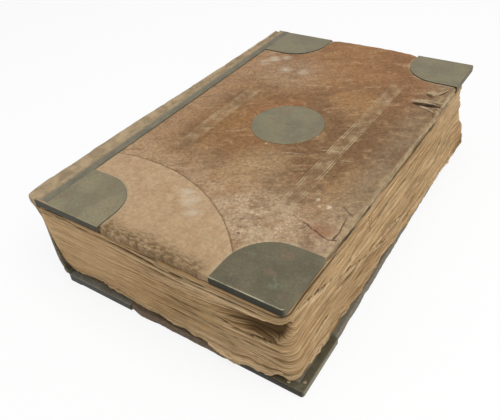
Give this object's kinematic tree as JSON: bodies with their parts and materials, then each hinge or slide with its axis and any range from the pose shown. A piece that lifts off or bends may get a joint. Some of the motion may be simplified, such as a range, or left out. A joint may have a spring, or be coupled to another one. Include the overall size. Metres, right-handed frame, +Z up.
{
  "type": "antique leather bound account book",
  "caption": "Large worn leather bound account book lying closed, with brass corner plates, a round centre plate, a swollen block of old pages and two covers that open.",
  "frame": {"origin": "on the surface that the book lies on, under the middle of the whole book", "axes": "+X from the spine to the fore edge of the pages, +Y from the tail to the head, +Z up through the pages from the back cover to the front cover"},
  "size_m": [0.3066, 0.4515, 0.1025],
  "materials": {
    "cover_leather": "matte",
    "spine_leather": "matte",
    "patinated_brass": "matte",
    "paper": "matte"
  },
  "bodies": {
    "text_block": {"spine_leather": "spine_leather", "text_block": "paper"},
    "front_cover": {"front_board": "cover_leather", "front_disc": "patinated_brass", "front_disc_nail": "patinated_brass", "front_plate_head_fore": "patinated_brass", "front_plate_head_fore_nail_1": "patinated_brass", "front_plate_head_fore_nail_2": "patinated_brass", "front_plate_head_spine": "patinated_brass", "front_plate_head_spine_nail_1": "patinated_brass", "front_plate_head_spine_nail_2": "patinated_brass", "front_plate_tail_fore": "patinated_brass", "front_plate_tail_fore_nail_1": "patinated_brass", "front_plate_tail_fore_nail_2": "patinated_brass", "front_plate_tail_spine": "patinated_brass", "front_plate_tail_spine_nail_1": "patinated_brass", "front_plate_tail_spine_nail_2": "patinated_brass", "front_spine_strip": "spine_leather"},
    "back_cover": {"back_board": "cover_leather", "back_plate_head_spine": "patinated_brass", "back_plate_head_spine_nail_1": "patinated_brass", "back_plate_head_spine_nail_2": "patinated_brass", "back_plate_tail_fore": "patinated_brass", "back_plate_tail_fore_nail_1": "patinated_brass", "back_plate_tail_fore_nail_2": "patinated_brass", "back_plate_tail_spine": "patinated_brass", "back_plate_tail_spine_nail_1": "patinated_brass", "back_plate_tail_spine_nail_2": "patinated_brass", "back_spine_strip": "spine_leather"}
  },
  "joints": [
    {"name": "front_hinge", "type": "hinge", "parent": "text_block", "child": "front_cover", "pos_m": [-0.1385, 0, 0.1028], "axis": [0, -1, 0], "range_deg": [0, 179.9]},
    {"name": "back_hinge", "type": "hinge", "parent": "text_block", "child": "back_cover", "pos_m": [-0.13169, -0.0015, 0.00435], "axis": [-0.0105, 0.9999, 0], "range_deg": [0, 179.9]}
  ]
}
